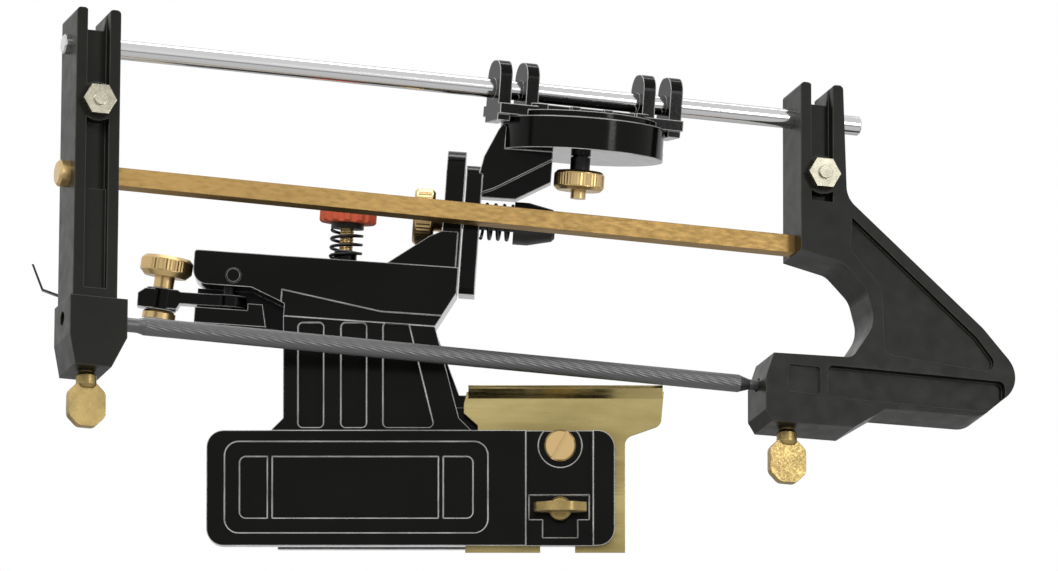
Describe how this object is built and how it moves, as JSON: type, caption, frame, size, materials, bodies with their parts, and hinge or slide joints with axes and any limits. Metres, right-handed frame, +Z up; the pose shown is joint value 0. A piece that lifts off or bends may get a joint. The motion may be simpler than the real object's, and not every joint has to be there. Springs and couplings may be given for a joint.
{
  "type": "chainsaw filing guide",
  "caption": "Bar-mounted filing guide for saw chain: a clamp saddle, tilting swivel table, sliding rod and a bow frame with a round file.",
  "frame": {"origin": "on the fixed jaw's clamping face, in line with the clamp screw", "axes": "+X along the guide bar slot, to the clamp screw's end; +Y away from the front panel; +Z up"},
  "size_m": [0.3178, 0.12, 0.1707],
  "materials": {
    "gloss_black": "gloss enamel on a die casting",
    "satin_black": "satin enamel on a die casting",
    "zinc_yellow": "yellow passivated zinc plate",
    "brass": "turned and knurled",
    "rod_steel": "ground and bright",
    "file_steel": "dark hardened steel with a spiral cut",
    "red_plastic": "moulded",
    "spring_steel": "blackened spring steel",
    "zinc_bright": "bright zinc plate"
  },
  "bodies": {
    "clamp_base": {"front_leg": "gloss_black", "rear_jaw": "gloss_black", "slotted_set_screw": "zinc_yellow", "bridge": "gloss_black", "stop_arm_pin": "spring_steel", "head_button": "gloss_black", "stop_leaf_spring": "spring_steel", "leaf_rivet": "brass", "height_spring": "spring_steel"},
    "pressure_plate": {"pressure_plate": "zinc_yellow"},
    "clamp_screw": {"clamp_thumb_screw": "zinc_yellow"},
    "height_hub": {"height_hub": "satin_black"},
    "height_screw": {"height_screw": "brass", "red_height_knob": "red_plastic"},
    "stop_arm": {"stop_arm": "gloss_black"},
    "stop_screw": {"stop_screw": "brass", "stop_foot": "brass"},
    "tilt_screw": {"tilt_knob": "brass", "tilt_bolt": "zinc_bright", "tilt_cap_nut": "satin_black"},
    "tilt_arm": {"swivel_arm_and_table": "satin_black", "tilt_spring": "spring_steel"},
    "swivel_screw": {"swivel_knob": "brass", "swivel_screw": "spring_steel", "swivel_screw_tip": "brass"},
    "carriage": {"carriage": "satin_black"},
    "guide_rod": {"guide_rod": "rod_steel"},
    "file_frame": {"left_upright": "satin_black", "handle": "satin_black", "spacer_bar": "zinc_yellow", "bar_end_nut": "brass", "round_file": "file_steel", "left_rod_nut": "zinc_bright", "right_rod_nut": "zinc_bright"},
    "left_file_screw": {"left_file_screw": "zinc_yellow"},
    "right_file_screw": {"right_file_screw": "zinc_yellow"}
  },
  "joints": [
    {"name": "plate_slide", "type": "slide", "parent": "clamp_base", "child": "pressure_plate", "axis": [0, 1, 0], "range_m": [0, 0.0045]},
    {"name": "clamp_turn", "type": "hinge", "parent": "pressure_plate", "child": "clamp_screw", "pos_m": [0, -0.018, 0], "axis": [0, 1, 0], "range_deg": [0, 1620]},
    {"name": "height_feed", "type": "slide", "parent": "clamp_base", "child": "height_hub", "axis": [-0.0698, 0, -0.9976], "range_m": [-0.002, 0.003], "deforming": ["height_spring"]},
    {"name": "height_turn", "type": "hinge", "parent": "height_hub", "child": "height_screw", "pos_m": [-0.06848, -0.005, 0.093], "axis": [-0.0698, 0, -0.9976], "range_deg": [-900, 1350]},
    {"name": "stop_swing", "type": "hinge", "parent": "clamp_base", "child": "stop_arm", "pos_m": [-0.10654, -0.008, 0.0676], "axis": [0.0698, 0, 0.9976], "range_deg": [0, 12]},
    {"name": "stop_turn", "type": "hinge", "parent": "stop_arm", "child": "stop_screw", "pos_m": [-0.12847, -0.008, 0.06803], "axis": [0.1564, 0, 0.9877], "range_deg": [-360, 360]},
    {"name": "tilt_turn", "type": "hinge", "parent": "clamp_base", "child": "tilt_screw", "pos_m": [-0.03148, -0.003, 0.09463], "axis": [0.9976, 0, -0.0698], "range_deg": [0, 360]},
    {"name": "tilt", "type": "hinge", "parent": "clamp_base", "child": "tilt_arm", "pos_m": [-0.02848, -0.003, 0.09442], "axis": [0.9976, 0, -0.0698], "range_deg": [-10, 0]},
    {"name": "swivel_turn", "type": "hinge", "parent": "tilt_arm", "child": "swivel_screw", "pos_m": [0.00613, -0.003, 0.10683], "axis": [0.0698, 0, 0.9976], "range_deg": [0, 360]},
    {"name": "swivel", "type": "hinge", "parent": "tilt_arm", "child": "carriage", "pos_m": [0.00745, -0.003, 0.12579], "axis": [0.0698, 0, 0.9976], "range_deg": [-3, 107]},
    {"name": "rod_slide", "type": "slide", "parent": "carriage", "child": "guide_rod", "axis": [0.9487, 0.309, -0.0663], "range_m": [-0.022, 0.11]},
    {"name": "frame_swing", "type": "hinge", "parent": "guide_rod", "child": "file_frame", "pos_m": [0.00804, -0.003, 0.13417], "axis": [0.9487, 0.309, -0.0663], "range_deg": [-75, 0]},
    {"name": "left_file_turn", "type": "hinge", "parent": "file_frame", "child": "left_file_screw", "pos_m": [-0.14991, -0.07605, 0.03735], "axis": [0.0041, 0.1977, 0.9802], "range_deg": [0, 360]},
    {"name": "right_file_turn", "type": "hinge", "parent": "file_frame", "child": "right_file_screw", "pos_m": [0.07306, -0.00284, 0.0247], "axis": [0.0041, 0.1977, 0.9802], "range_deg": [0, 360]}
  ],
  "couplings": [
    {"joint": "clamp_turn", "follows": "plate_slide", "rad_per_m": 6283.2},
    {"joint": "height_turn", "follows": "height_feed", "rad_per_m": 7854}
  ]
}
